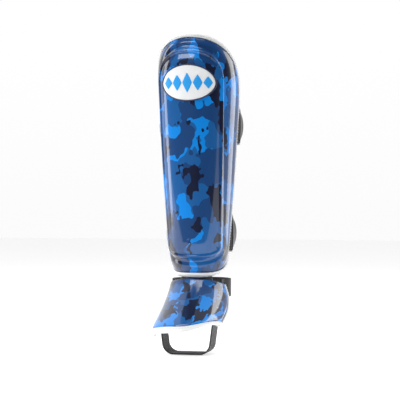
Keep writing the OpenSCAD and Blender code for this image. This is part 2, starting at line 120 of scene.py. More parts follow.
def past_bar(k, d):
    """The point d inside the bar's outline, on the line to the bar's middle; outside it if d is under 0."""
    u1, z1 = bar_edge[k]
    if d < 0:
        u0, z0 = panel_edge[k]
        f = -d / math.hypot(u1 - u0, z1 - z0)
        return (mix(u1, u0, f), mix(z1, z0, f))
    z2 = mix(0.2 * panel_h, 0.8 * panel_h, min(1, max(0, (z1 - 0.12 * panel_h) / (0.78 * panel_h))))
    f = d / math.hypot(u1, z2 - z1)
    return (u1 * (1 - f), mix(z1, z2, f))


def bar_full(z):
    return mix(bar_low_t, bar_t, smooth(z / (0.7 * panel_h)))


def padding(rise, z):
    return side_t + rise * (bar_full(z) - side_t)


def new_piece(name, points, faces, prints=None):
    """A smooth-shaded mesh object; prints are places on the printed cloth, in metres, one for each point."""
    mesh = bpy.data.meshes.new(name)
    mesh.from_pydata(points, [], faces)
    if prints:
        layer = mesh.uv_layers.new(name="print")
        for loop in mesh.loops:
            layer.data[loop.index].uv = prints[loop.vertex_index]
    bm = bmesh.new()
    bm.from_mesh(mesh)
    bmesh.ops.recalc_face_normals(bm, faces=bm.faces)
    bm.to_mesh(mesh)
    bm.free()
    mesh.polygons.foreach_set("use_smooth", [True] * len(mesh.polygons))
    obj = bpy.data.objects.new(name, mesh)
    collection.objects.link(obj)
    return obj


def ring_solid(name, outer, inner):
    """A closed pad between two faces, each a list of rings of (u, z, t) that run from its edge inwards."""
    points, prints, faces = [], [], []
    for side, rings in enumerate((outer, inner)):
        first = len(points)
        for ring in rings:
            for u, z, t in ring:
                points.append(on_panel(u, z, t))
                prints.append((u, z))
        for j in range(len(rings) - 1):
            for i in range(rounds):
                a, b = first + j * rounds + i, first + j * rounds + (i + 1) % rounds
                faces.append((a, b, b + rounds, a + rounds) if side else (a, a + rounds, b + rounds, b))
        last = first + (len(rings) - 1) * rounds
        for i in range(1, rounds // 2):
            quad = (last + i, last + rounds - i, last + (rounds - i - 1) % rounds, last + i + 1)
            faces.append(tuple(dict.fromkeys(quad if side else quad[::-1])))
        faces.append((last, last + 1, last + rounds - 1))
    second = len(outer) * rounds
    for i in range(rounds):
        j = (i + 1) % rounds
        faces.append((i, j, second + j, second + i))
    return new_piece(name, points, faces, prints)


def side_swell(f):
    return 0.0012 * math.sin(math.pi * min(1, max(0, f))) ** 0.8


# (distance inside the bar's outline, share of the bar's rise): the step, the bead and the groove behind it.
bead = [(-0.0100, 0.0), (-0.0080, 0.01), (-0.0064, 0.06), (-0.0050, 0.20), (-0.0038, 0.42), (-0.0028, 0.62),
        (-0.0018, 0.77), (-0.0009, 0.85), (0.0000, 0.89), (0.0010, 0.885), (0.0020, 0.84), (0.0030, 0.78),
        (0.0042, 0.76), (0.0058, 0.79), (0.0080, 0.84), (0.0110, 0.89), (0.0150, 0.93), (0.0200, 0.96)]
# (distance inside the panel's edge, height over the rim): the skin under the edge tape and beside it.
brow = [(binding_w - 0.0010, 0.0004), (binding_w + 0.0005, 0.0004),
        (binding_w + 0.0013, 0.0014), (binding_w + 0.0028, 0.0024)]
brow_d, brow_rise = brow[-1]
bar_foot = bead[0][0]
crown_d, crown_rise = bead[-1]
ridge_d = 0.045
skin = [[(*panel_edge[k], t) for k in range(rounds)] for t in (lining_t, rim_t)]
skin += [[(*toward(k, d), rim_t + rise) for k in range(rounds)] for d, rise in brow]
for step in range(1, 9):
    row = []
    for k in range(rounds):
        u0, z0 = toward(k, brow_d)
        u1, z1 = past_bar(k, bar_foot)
        f = step / 9
        row.append((mix(u0, u1, f), mix(z0, z1, f),
                    mix(rim_t + brow_rise, side_t, smooth(f * 1.25)) + side_swell(f)))
    skin.append(row)
for d, rise in bead:
    skin.append([(*past_bar(k, d), padding(rise, past_bar(k, d)[1])) for k in range(rounds)])
for f in (0.25, 0.5, 0.75, 0.9):
    row = []
    for k in range(rounds):
        u0, z0 = past_bar(k, crown_d)
        rise = mix(crown_rise, 1, math.sin(math.pi / 2 * f))
        row.append((u0 * (1 - f), mix(z0, past_bar(k, ridge_d)[1], f * 0.5), padding(rise, z0)))
    skin.append(row)
under = [[(*panel_edge[k], lining_t) for k in range(rounds)]]
for f in (0.1, 0.25, 0.4, 0.55, 0.7, 0.85, 1.0):
    under.append([(mix(panel_edge[k][0], bar_edge[k][0], f), mix(panel_edge[k][1], bar_edge[k][1], f),
                   lining_t) for k in range(rounds)])
for d in (0.012, 0.028):
    under.append([(*past_bar(k, d), lining_t) for k in range(rounds)])
shin_pad = ring_solid("shin_panel_pad", skin, under[1:])


def finish_of(name, color, roughness, **sockets):
    """A material with its plain values on the shader itself."""
    mat = bpy.data.materials.new(name)
    mat.use_nodes = True
    shader = mat.node_tree.nodes["Principled BSDF"]
    shader.inputs["Base Color"].default_value = (*color, 1)
    shader.inputs["Roughness"].default_value = roughness
    for socket, value in sockets.items():
        shader.inputs[socket.replace("_", " ")].default_value = value
    return mat, mat.node_tree.nodes, mat.node_tree.links, shader


def print_place(nodes, links, stretch=(1, 1, 1), shift=(0, 0, 0)):
    """Where a point lies on its piece's cloth, in metres."""
    place = nodes.new("ShaderNodeUVMap")
    place.uv_map = "print"
    turn = nodes.new("ShaderNodeMapping")
    turn.inputs["Scale"].default_value = stretch
    turn.inputs["Location"].default_value = shift
    links.new(place.outputs["UV"], turn.inputs["Vector"])
    return turn.outputs["Vector"]


def speckle(nodes, links, place, scale, detail, rough):
    """Noise of the given number of specks to the metre."""
    texture = nodes.new("ShaderNodeTexNoise")
    for socket, value in (("Scale", scale), ("Detail", detail), ("Roughness", rough)):
        texture.inputs[socket].default_value = value
    links.new(place, texture.inputs["Vector"])
    return texture.outputs["Fac"]


def math_node(nodes, links, operation, a, b):
    node = nodes.new("ShaderNodeMath")
    node.operation = operation
    for i, value in enumerate((a, b)):
        if isinstance(value, (int, float)):
            node.inputs[i].default_value = value
        else:
            links.new(value, node.inputs[i])
    return node.outputs[0]


def color_mix(nodes, links, factor, a, b):
    node = nodes.new("ShaderNodeMix")
    node.data_type = "RGBA"
    links.new(factor, node.inputs["Factor"])
    for socket, value in ((node.inputs[6], a), (node.inputs[7], b)):
        if isinstance(value, tuple):
            socket.default_value = (*value, 1)
        else:
            links.new(value, socket)
    return node.outputs[2]


def raise_by(nodes, links, shader, height, depth, under=None):
    """Bump of the given depth in metres."""
    bump = nodes.new("ShaderNodeBump")
    bump.inputs["Strength"].default_value = 1.0
    bump.inputs["Distance"].default_value = depth
    links.new(height, bump.inputs["Height"])
    if under:
        links.new(under.outputs["Normal"], bump.inputs["Normal"])
    links.new(bump.outputs["Normal"], shader.inputs["Normal"])
    return bump


# Four inks in sharp-edged blots a few centimetres across: azure ground, two darker blues, near-black navy.
leather, n, l, shader = finish_of("camo_leather", (0.02, 0.22, 0.65), 0.3, Specular_IOR_Level=0.12,
                                  Coat_Weight=1.0, Coat_Roughness=0.05)
azure, mid_blue = (0.003, 0.220, 0.690), (0.009, 0.095, 0.300)
deep_blue, navy = (0.008, 0.050, 0.170), (0.005, 0.009, 0.032)


def blot(stretch, shift, scale, share, twist):
    """1 inside the blots of one ink, 0 outside; lobed edges come from a second, finer swirl."""
    place = print_place(n, l, stretch, shift)
    swirl = n.new("ShaderNodeTexNoise")
    swirl.inputs["Scale"].default_value, swirl.inputs["Detail"].default_value = scale * 2.2, 1.0
    l.new(place, swirl.inputs["Vector"])
    pull = n.new("ShaderNodeVectorMath")
    pull.operation = "MULTIPLY_ADD"
    pull.inputs[1].default_value = (twist / scale,) * 3
    l.new(swirl.outputs["Color"], pull.inputs[0])
    l.new(place, pull.inputs[2])
    return math_node(n, l, "GREATER_THAN", speckle(n, l, pull.outputs["Vector"], scale, 1.0, 0.3), share)


ink = color_mix(n, l, blot((1.1, 0.66, 1), (3.1, 1.7, 0), 36, 0.475, 0.6), azure, mid_blue)
ink = color_mix(n, l, blot((1.0, 0.66, 1), (2.2, 7.9, 0), 34, 0.515, 0.6), ink, deep_blue)
ink = color_mix(n, l, blot((1.5, 0.85, 1), (6.7, 4.1, 0), 33, 0.595, 0.8), ink, navy)
l.new(ink, shader.inputs["Base Color"])
grain = raise_by(n, l, shader, speckle(n, l, print_place(n, l), 1300, 2, 0.6), 0.00004)
raise_by(n, l, shader, speckle(n, l, print_place(n, l), 38, 2, 0.5), 0.0003, grain)
shin_pad.data.materials.append(leather)
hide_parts("shin_cover", "shin_impact_foam", "shin_comfort_foam")
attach(shin_pad, "shin")


# ------------------------------------------------------------------ lining of the shin panel
# Black woven polyester is bonded to the soft foam against the leg and caught under the edge tape.
def stripes(nodes, links, place, direction, scale, waver=0.0):
    """Evenly spaced threads or ribs that follow each other along one direction of the cloth."""
    wave = nodes.new("ShaderNodeTexWave")
    wave.bands_direction = direction
    wave.inputs["Scale"].default_value, wave.inputs["Distortion"].default_value = scale, waver
    links.new(place, wave.inputs["Vector"])
    return wave.outputs["Fac"]


cloth, n, l, shader = finish_of("lining_cloth", (0.020, 0.021, 0.026), 0.85,
                                Sheen_Weight=0.25, Sheen_Roughness=0.5)
place = print_place(n, l)
warp, weft = (stripes(n, l, place, direction, 260) for direction in ("X", "Y"))
threads = math_node(n, l, "MULTIPLY", warp, weft)
l.new(color_mix(n, l, threads, (0.012, 0.013, 0.016), (0.050, 0.052, 0.062)), shader.inputs["Base Color"])
fold = raise_by(n, l, shader, threads, 0.00012)
raise_by(n, l, shader, speckle(n, l, place, 45, 2, 0.5), 0.0009, fold)
shin_lining = ring_solid("shin_panel_lining", [[(u, z, lining_t) for u, z, t in ring] for ring in under],
                         [[(u, z, 0.0) for u, z, t in ring] for ring in under])
shin_lining.data.materials.append(cloth)
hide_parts("shin_lining")
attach(shin_lining, "shin")


# ------------------------------------------------------------------ white edge tape of the shin panel
# A strip of soft white synthetic leather is folded over the panel's edge all the way round, glued,
# and sewn through with one row of white thread.
def ring_faces(size, j, k):
    """The ring of faces between loops j and k, of size points each."""
    return [(j * size + i, j * size + (i + 1) % size, k * size + (i + 1) % size, k * size + i)
            for i in range(size)]


def sweep(name, loops, closed):
    """A solid through a row of closed loops; closed joins the last one to the first."""
    size, count = len(loops[0]), len(loops)
    points = [p for loop in loops for p in loop]
    faces = []
    for j in range(count if closed else count - 1):
        faces += ring_faces(size, j, (j + 1) % count)
    if not closed:
        faces += [tuple(range(size)), tuple((count - 1) * size + i for i in range(size))[::-1]]
    travelled, prints = 0.0, []
    for j, loop in enumerate(loops):
        if j:
            travelled += math.dist(loop[0], loops[j - 1][0])
        girth = 0.0
        for i, p in enumerate(loop):
            girth += math.dist(p, loop[i - 1]) if i else 0.0
            prints.append((travelled, girth))
    return new_piece(name, points, faces, prints)


def tape_loop(at, top, foot):
    """The tape's section: at(d, t) is d inside the edge and t up; top and foot are the pad's heights."""
    roll, back = binding_roll, binding_t * 0.6
    mid, rise, crest = (top + foot) / 2, (top - foot) / 2, top + 0.0027
    loop = [at(binding_w, top + 0.0012), at(binding_w + 0.0002, top + 0.0018), at(binding_w - 0.0008, crest),
            at(binding_w * 0.6, crest), at(binding_w * 0.2, top + 0.0022)]
    for i in range(7):
        c = math.radians(70 - 140 * i / 6)
        loop.append(at(-roll * math.cos(c) ** 0.8 + 0.0002, mid + (rise + 0.0012) * math.sin(c) * 1.06))
    return loop + [at(binding_w * 0.3, foot - back), at(binding_w * 0.8, foot - back),
                   at(binding_w, foot - back * 0.6), at(binding_w, foot)]


tape, n, l, shader = finish_of("white_binding", (0.80, 0.80, 0.79), 0.42,
                               Coat_Weight=0.15, Coat_Roughness=0.3)
place = print_place(n, l)
creases = speckle(n, l, print_place(n, l, (1, 0.25, 1)), 420, 3, 0.6)
handled = color_mix(n, l, speckle(n, l, place, 60, 3, 0.6), (0.74, 0.745, 0.75), (0.86, 0.86, 0.85))
l.new(handled, shader.inputs["Base Color"])
raise_by(n, l, shader, creases, 0.00025)


def shin_tape_at(k):
    return lambda d, t: on_panel(*toward(k, d), t)


tape_loops = [tape_loop(shin_tape_at(k), rim_t - 0.0002, 0.0) for k in range(rounds)]
shin_tape = sweep("shin_edge_tape", tape_loops, True)
shin_tape.data.materials.append(tape)
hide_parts("shin_binding")
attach(shin_tape, "shin")


def stitch_tree():
    """Geometry nodes that lay one bead of thread at each step along a path."""
    tree = bpy.data.node_groups.new("thread_stitches", "GeometryNodeTree")
    tree.interface.new_socket("Geometry", in_out="INPUT", socket_type="NodeSocketGeometry")
    for name, value in (("Spacing", 0.0045), ("Stitch length", 0.0034), ("Thread thickness", 0.0009)):
        tree.interface.new_socket(name, in_out="INPUT", socket_type="NodeSocketFloat").default_value = value
    tree.interface.new_socket("Thread", in_out="INPUT", socket_type="NodeSocketMaterial")
    tree.interface.new_socket("Geometry", in_out="OUTPUT", socket_type="NodeSocketGeometry")
    add, link = tree.nodes.new, tree.links.new
    given, out = add("NodeGroupInput"), add("NodeGroupOutput")
    along = add("GeometryNodeCurveToPoints")
    along.mode = "LENGTH"
    link(given.outputs["Geometry"], along.inputs["Curve"])
    link(given.outputs["Spacing"], along.inputs["Length"])
    aim = add("FunctionNodeAlignRotationToVector")
    aim.axis = "Z"
    link(along.outputs["Tangent"], aim.inputs["Vector"])
    thread = add("GeometryNodeMeshUVSphere")
    thread.inputs["Segments"].default_value = 6
    thread.inputs["Rings"].default_value = 4
    thread.inputs["Radius"].default_value = 0.5
    size = add("ShaderNodeCombineXYZ")
    for socket, name in (("X", "Thread thickness"), ("Y", "Thread thickness"), ("Z", "Stitch length")):
        link(given.outputs[name], size.inputs[socket])
    lay = add("GeometryNodeInstanceOnPoints")
    link(along.outputs["Points"], lay.inputs["Points"])
    link(thread.outputs["Mesh"], lay.inputs["Instance"])
    link(aim.outputs["Rotation"], lay.inputs["Rotation"])
    link(size.outputs["Vector"], lay.inputs["Scale"])
    real, paint = add("GeometryNodeRealizeInstances"), add("GeometryNodeSetMaterial")
    link(lay.outputs["Instances"], real.inputs["Geometry"])
    link(real.outputs["Geometry"], paint.inputs["Geometry"])
    link(given.outputs["Thread"], paint.inputs["Material"])
    link(paint.outputs["Geometry"], out.inputs["Geometry"])
    return tree


stitches = stitch_tree()


def sew(name, paths, thread, body, spacing=0.0045, length=0.0034, thick=0.0009):
    """Rows of stitches along paths (lists of points), as one plain mesh riding on a body."""
    curve = bpy.data.curves.new(name + "_path", "CURVE")
    curve.dimensions = "3D"
    for path, closed in paths:
        spline = curve.splines.new("POLY")
        spline.points.add(len(path) - 1)
        for i, p in enumerate(path):
            spline.points[i].co = (*p, 1)
        spline.use_cyclic_u = closed
    guide = bpy.data.objects.new(name + "_path", curve)
    collection.objects.link(guide)
    modifier = guide.modifiers.new("stitches", "NODES")
    modifier.node_group = stitches
    sockets = {s.name: s.identifier for s in stitches.interface.items_tree if s.in_out == "INPUT"}
    for socket, value in (("Spacing", spacing), ("Stitch length", length), ("Thread thickness", thick),
                          ("Thread", thread)):
        modifier[sockets[socket]] = value
    graph = bpy.context.evaluated_depsgraph_get()
    mesh = bpy.data.meshes.new_from_object(guide.evaluated_get(graph))
    bpy.data.objects.remove(guide)
    mesh.name = name
    mesh.polygons.foreach_set("use_smooth", [True] * len(mesh.polygons))
    obj = bpy.data.objects.new(name, mesh)
    collection.objects.link(obj)
    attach(obj, body)
    return obj


def own_place(nodes):
    """Where a point lies in the guard's own space, in metres."""
    return nodes.new("ShaderNodeTexCoord").outputs["Object"]


thread, n, l, shader = finish_of("white_thread", (0.70, 0.70, 0.69), 0.6)
raise_by(n, l, shader, speckle(n, l, own_place(n), 2500, 2, 0.6), 0.00008)
row = [shin_tape_at(k)(binding_w * 0.45, rim_t + 0.0026) for k in range(rounds)]
seam = sew("shin_tape_stitches", [(row, True)], thread, "shin")


# ------------------------------------------------------------------ badge
# A lens-shaped patch of soft moulded rubber is glued near the top of the bar. A navy line is moulded
# round it, and a plain row of blue lozenges is raised on its white ground.
badge_z, badge_w, badge_h, badge_t, badge_sunk = 0.296, 0.076, 0.056, 0.0016, -0.001


def badge_seat(u):
    return bar_t - 0.002 * (abs(u) / 0.038) ** 3


def badge_at(a, f, t):
    u = f * badge_w / 2 * math.cos(a)
    z = badge_z + f * badge_h / 2 * math.copysign(abs(math.sin(a)) ** 1.15, math.sin(a))
    return on_panel(u, z, badge_seat(u) + t)


def disc(name, place, steps, around=96):
    """A closed button; place(angle, share of its radius, side) gives a point, side 1 on top and 0 below."""
    points, faces = [], []
    rings = [(f, 1) for f in steps] + [(f, 0) for f in reversed(steps)]
    for f, side in rings:
        points += [place(2 * math.pi * i / around, f, side) for i in range(around)]
    top, under = len(points), len(points) + 1
    points += [place(0, 0.0, 1), place(0, 0.0, 0)]
    for j in range(len(rings) - 1):
        faces += ring_faces(around, j, j + 1)
    last = (len(rings) - 1) * around
    faces += [(top, (i + 1) % around, i) for i in range(around)]
    faces += [(under, last + i, last + (i + 1) % around) for i in range(around)]
    return new_piece(name, points, faces)


patch = disc("badge_patch_soft", lambda a, f, side: badge_at(a, f * 0.945, badge_t if side else badge_sunk),
             [0.1, 0.3, 0.5, 0.7, 0.85, 0.95, 1.0])
ground, n, l, shader = finish_of("badge_ground", (0.84, 0.85, 0.86), 0.33,
                                 Coat_Weight=0.2, Coat_Roughness=0.2)
raise_by(n, l, shader, speckle(n, l, own_place(n), 1500, 2, 0.5), 0.00003)
patch.data.materials.append(ground)
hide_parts("badge_patch")
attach(patch, "shin")

section = [(0.935, badge_sunk), (0.935, badge_t), (0.945, badge_t + 0.0004), (0.960, badge_t + 0.0006),
           (0.978, badge_t + 0.0006), (0.993, badge_t + 0.0002), (1.0, badge_t - 0.0006), (1.0, badge_sunk)]
line = [[badge_at(2 * math.pi * i / 120, f, t) for f, t in section] for i in range(120)]
badge_line = sweep("badge_navy_line", line, True)
navy_rubber, n, l, shader = finish_of("badge_navy_rubber", (0.010, 0.018, 0.060), 0.35)
raise_by(n, l, shader, speckle(n, l, own_place(n), 1500, 2, 0.5), 0.00003)
badge_line.data.materials.append(navy_rubber)
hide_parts("badge_rim")
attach(badge_line, "shin")

blue_rubber, n, l, shader = finish_of("badge_blue_rubber", (0.020, 0.33, 0.80), 0.35)
raise_by(n, l, shader, speckle(n, l, own_place(n), 1500, 2, 0.5), 0.00003)
for i in range(-2, 3):
    middle, tall, half = i * 0.013, 0.015 - 0.003 * abs(i), 0.0059

    def lozenge_at(a, f, side):
        c, s = math.cos(a), math.sin(a)
        reach = f * (abs(c) ** 1.12 + abs(s) ** 1.12) ** (-1 / 1.12)
        u = middle + half * reach * c
        low = badge_seat(u) + badge_t
        height = (0.0007 if f < 0.95 else 0.0004) if side else -0.0002
        return on_panel(u, badge_z + tall * reach * s, low + height)

    lozenge = disc(f"badge_lozenge_{i + 3}", lozenge_at, [0.3, 0.7, 0.9, 1.0], 48)
    lozenge.data.materials.append(blue_rubber)
    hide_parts("badge_emblem")
    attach(lozenge, "shin")


# ------------------------------------------------------------------ calf straps
# Two padded straps are sewn to the panel's inner edge through black elastic, pass round the calf and
# close on its outer side. Each is a foam pad in black leather, lined with cloth and edged with piping.
strap_w, strap_pad, strap_lift, strap_skin, piping_r = 0.060, 0.011, 0.005, 0.0012, 0.002
elastic_gap, hook_t, hook_gap, web_t = 0.006, 0.0012, 0.0004, 0.002
tab_angle, strap_mid_t = 268.0, 0.015
tab_in = side_t + hook_gap + 2 * hook_t


def edge_angle(z):
    """How far round the leg the panel's edge lies at height z, in degrees from the front."""
    up = min(1, max(0, (z - low_z) / (high_z - low_z)))
    return math.degrees(wrap(mix(panel_low_half, panel_half, up), z))


def turn_of(d, z):
    """The angle of a distance d along a strap."""
    return math.degrees(d / (leg_half(z) + strap_mid_t))


def root_angle(z):
    return edge_angle(z) + turn_of(binding_roll + elastic_gap, z)


def strap_in(a, z):
    if a < 180:
        return mix(rim_t + strap_lift, 0.0015, smooth((a - root_angle(z)) / (180 - root_angle(z))))
    return mix(0.0015, tab_in, smooth((a - 180) / (172 - edge_angle(z))))


def strap_full(a, z):
    return min(mix(0.15, 1, smooth((a - root_angle(z)) / 10)),
               mix(1, 0.12, smooth((a - 205) / (150 - edge_angle(z)))))


def strap_half(a):
    rounded = max(0.12, 1 - max(0.0, (a - tab_angle + 14) / 14) ** 2.4) ** 0.5
    return (strap_w / 2 - piping_r) * rounded


def on_strap(a, z, h, t):
    x, y, _ = on_leg(math.radians(a), z, t)
    return (x, y, z + h)


def slab(name, outer, inner, prints):
    """A closed sheet between two grids of points; prints is a grid of places on the cloth."""
    rows, cols = len(outer), len(outer[0])
    size = rows * cols
    points = [p for row in outer for p in row] + [p for row in inner for p in row]
    faces = []
    for j in range(rows - 1):
        for i in range(cols - 1):
            a = j * cols + i
            faces += [(a, a + 1, a + cols + 1, a + cols),
                      (a + size, a + cols + size, a + cols + 1 + size, a + 1 + size)]
    rim = (list(range(cols - 1)) + [j * cols + cols - 1 for j in range(rows - 1)]
           + [size - 1 - i for i in range(cols - 1)] + [(rows - 1 - j) * cols for j in range(rows - 1)])
    faces += [(a, b, b + size, a + size) for a, b in zip(rim, rim[1:] + rim[:1])]
    flat = [p for row in prints for p in row]
    return new_piece(name, points, faces, flat + flat)


def fill_out(obj, fixed, most, pressure):
    """Blows the pad up as cloth with its fixed points held, and lets no point move further than most."""
    held = obj.vertex_groups.new(name="sewn")
    held.add(fixed, 1.0, "REPLACE")
    before = [v.co.copy() for v in obj.data.vertices]
    modifier = obj.modifiers.new("cloth", "CLOTH")
    cloth_settings = modifier.settings
    cloth_settings.quality, cloth_settings.mass, cloth_settings.air_damping = 6, 0.2, 2.0
    cloth_settings.tension_stiffness = cloth_settings.compression_stiffness = 30
    cloth_settings.shear_stiffness, cloth_settings.bending_stiffness = 8, 0.6
    cloth_settings.vertex_group_mass = "sewn"
    cloth_settings.use_pressure, cloth_settings.uniform_pressure_force = True, pressure
    cloth_settings.effector_weights.gravity = 0
    modifier.collision_settings.use_collision = False
    for frame_number in range(1, 21):
        bpy.context.scene.frame_set(frame_number)
    mesh = bpy.data.meshes.new_from_object(obj.evaluated_get(bpy.context.evaluated_depsgraph_get()))
    for point, start in zip(mesh.vertices, before):
        move = point.co - start
        if move.length > most:
            point.co = start + move * (most / move.length)
    name = obj.name
    obj.modifiers.remove(modifier)
    obj.vertex_groups.clear()
    obj.data = mesh
    obj.name = name
    bpy.context.scene.frame_set(1)


def strap_sections(z, count):
    root = root_angle(z)
    return [mix(root, tab_angle, i / count) for i in range(count + 1)]


def soften(obj):
    """One level of subdivision, kept in the mesh, over a smooth-shaded pad."""
    modifier = obj.modifiers.new("smooth", "SUBSURF")
    modifier.levels = modifier.render_levels = 1
    mesh = bpy.data.meshes.new_from_object(obj.evaluated_get(bpy.context.evaluated_depsgraph_get()))
    mesh.polygons.foreach_set("use_smooth", [True] * len(mesh.polygons))
    obj.modifiers.remove(modifier)
    obj.data = mesh


strap_leather, n, l, shader = finish_of("strap_leather", (0.018, 0.019, 0.022), 0.33,
                                        Coat_Weight=0.5, Coat_Roughness=0.12)
grain = raise_by(n, l, shader, speckle(n, l, print_place(n, l), 1300, 2, 0.6), 0.00005)
raise_by(n, l, shader, speckle(n, l, print_place(n, l), 45, 2, 0.5), 0.0008, grain)

vinyl, n, l, shader = finish_of("strap_piping_vinyl", (0.74, 0.74, 0.74), 0.38,
                                Coat_Weight=0.2, Coat_Roughness=0.25)
place = print_place(n, l, (1, 0.4, 1))
handled = color_mix(n, l, speckle(n, l, place, 90, 2, 0.5), (0.68, 0.685, 0.69), (0.78, 0.78, 0.775))
l.new(handled, shader.inputs["Base Color"])
raise_by(n, l, shader, speckle(n, l, place, 600, 2, 0.6), 0.00018)

hooks, n, l, shader = finish_of("hook_tape", (0.020, 0.021, 0.025), 0.5)
raise_by(n, l, shader, speckle(n, l, print_place(n, l), 900, 1, 0.5), 0.0004)
loops, n, l, shader = finish_of("loop_pile", (0.030, 0.031, 0.037), 0.95,
                                Sheen_Weight=0.5, Sheen_Roughness=0.4)
raise_by(n, l, shader, speckle(n, l, print_place(n, l), 1100, 3, 0.7), 0.0006)

across = [-1, -0.93, -0.8, -0.6, -0.3, 0, 0.3, 0.6, 0.8, 0.93, 1]
crown = 2.6                                 # the higher this is, the flatter the strap's middle
swell_most, swell_pressure = 0.0016, 2.5
seam_in, patch_half = 0.003, 0.34 * strap_w
for side, z in (("upper", upper_z), ("lower", lower_z)):
    body = side + "_strap"
    sections = strap_sections(z, 64)
    far = [0.0]
    for a, b in zip(sections, sections[1:]):
        far.append(far[-1] + math.dist(on_strap(a, z, 0, 0.008), on_strap(b, z, 0, 0.008)))
    outer, inner, prints = [], [], []
    for a, d in zip(sections, far):
        base, half, full = strap_in(a, z), strap_half(a), strap_full(a, z)
        outer.append([on_strap(a, z, s * half, base + strap_skin * 2 + 0.0004
                               + strap_pad * full * (1 - abs(s) ** crown)) for s in across])
        inner.append([on_strap(a, z, s * half, base + strap_skin) for s in across])
        prints.append([(d + 0.31 * z, s * half + 0.4 * z) for s in across])
    pad = slab(side + "_strap_pad", outer, inner, prints)
    cols, size = len(across), len(across) * len(sections)
    edge = [v for v in range(2 * size)
            if v >= size or v % cols in (0, cols - 1) or v // cols in (0, len(sections) - 1)]
    fill_out(pad, edge, swell_most, swell_pressure)
    soften(pad)
    pad.data.materials.append(strap_leather)
    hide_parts(side + "_strap_cover", side + "_strap_foam")
    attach(pad, body)

    bare = [[on_strap(a, z, s * strap_half(a), strap_in(a, z)) for s in across] for a in sections]
    lining = slab(side + "_strap_lining_cloth", inner, bare, prints)
    lining.data.materials.append(cloth)
    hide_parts(side + "_strap_lining")
    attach(lining, body)

    cord = []
    route = [(a, 1) for a in sections] + [(a, -1) for a in reversed(sections)]
    for a, way in route:
        r = piping_r * mix(0.6, 1, strap_full(a, z))
        middle, tip = strap_in(a, z) + strap_skin + 0.0002, a == tab_angle
        loop = []
        for c in [math.pi / 6 * i for i in range(12)]:
            on = a + (turn_of(r * (1 + math.cos(c)), z) if tip else 0)
            beside = way * (strap_half(a) + (-r if tip else r * (0.95 + math.cos(c))))
            loop.append(on_strap(on, z, beside, middle + r * math.sin(c)))
        cord.append(loop)
    piping = sweep(side + "_strap_piping_cord", cord, False)
    piping.data.materials.append(vinyl)
    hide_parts(side + "_strap_piping")
    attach(piping, body)

    seam_rows = []
    for way in (-1, 1):
        row = []
        for a in sections[1:-2]:
            share = 1 - (1 - seam_in / strap_half(a)) ** crown
            height = strap_in(a, z) + strap_skin * 2 + 0.0006 + strap_pad * strap_full(a, z) * share
            row.append(on_strap(a, z, way * (strap_half(a) - seam_in), height))
        seam_rows.append((row, False))
    seam = sew(side + "_strap_seam", seam_rows, thread, body)

    start, stop = 368 - edge_angle(z), tab_angle - 3
    places = [mix(start, stop, i / 12) for i in range(13)]
    rows = [-1, -0.6, -0.2, 0.2, 0.6, 1]
    for kind, node, rides, finish, slot, reach, base in (
            ("hook", "_hook_patch", body, hooks, "hook_tape", patch_half, None),
            ("loop", "_loop_patch", "shin", loops, "loop_pile", patch_half + 0.002,
             tab_in - hook_t - hook_gap)):
        top, low, spots = [], [], []
        for a in places:
            t = strap_in(a, z) if base is None else base
            deep = hook_t if base is None else hook_t + 0.0012
            wide = min(reach, strap_half(a) - 0.001) if base is None else reach
            top.append([on_strap(a, z, s * wide, t) for s in rows])
            low.append([on_strap(a, z, s * wide, t - deep) for s in rows])
            spots.append([(math.radians(a) * 0.06, s * wide) for s in rows])
        tape_patch = slab(f"{side}_{kind}_tape", top, low, spots)
        tape_patch.data.materials.append(finish)
        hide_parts(side + node)
        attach(tape_patch, rides)


# ------------------------------------------------------------------ elastics between the panel and the straps
# A strip of ribbed black elastic is sewn inside the panel's edge and to the end of each strap, so the
# strap can be swung open and gives a little over the calf.
elastic, n, l, shader = finish_of("ribbed_elastic", (0.012, 0.013, 0.016), 0.72,
                                  Sheen_Weight=0.3, Sheen_Roughness=0.4)
place = print_place(n, l)
ribs, picks = stripes(n, l, place, "Y", 190), stripes(n, l, place, "X", 420)
faint_picks = math_node(n, l, "ADD", math_node(n, l, "MULTIPLY", picks, 0.4), 0.6)
knit = math_node(n, l, "MULTIPLY", ribs, faint_picks)
l.new(color_mix(n, l, knit, (0.006, 0.006, 0.008), (0.034, 0.035, 0.042)), shader.inputs["Base Color"])
raise_by(n, l, shader, knit, 0.00035)


def rounded_line(corners, count):
    """Points along a smooth curve through the corners, count to each stretch."""
    points = []
    last = len(corners) - 1
    for i in range(last):
        p0, p1, p2, p3 = (corners[min(last, max(0, i + k))] for k in (-1, 0, 1, 2))
        for j in range(count):
            f = j / count
            points.append(tuple(0.5 * (2 * b + (c - a) * f + (2 * a - 5 * b + 4 * c - d) * f * f
                                       + (3 * b - a - 3 * c + d) * f ** 3)
                                for a, b, c, d in zip(p0, p1, p2, p3)))
    return points + [tuple(corners[-1])]


# The elastic's middle line as (distance past the panel's edge, height over the leg space). It runs a
# millimetre off the lining, then turns outwards, close round the edge tape, to the strap's root.
band_lie = -0.0021
band_route = rounded_line([(-0.016, band_lie), (-0.006, band_lie), (0.0022, band_lie), (0.0042, 0.0006),
                           (0.0049, 0.006), (0.0060, 0.0115), (0.0078, 0.0148)], 6)
band_half_t = 0.0009


def on_band(z, h, past, t):
    """A point of the elastic, which follows the tapering panel at one end and the strap at the other."""
    a = edge_angle(z) + turn_of(past, z)
    share = smooth((past - 0.0030) / 0.0048)
    return tuple(mix(p, q, share) for p, q in zip(on_leg(math.radians(a), z + h, t), on_strap(a, z, h, t)))


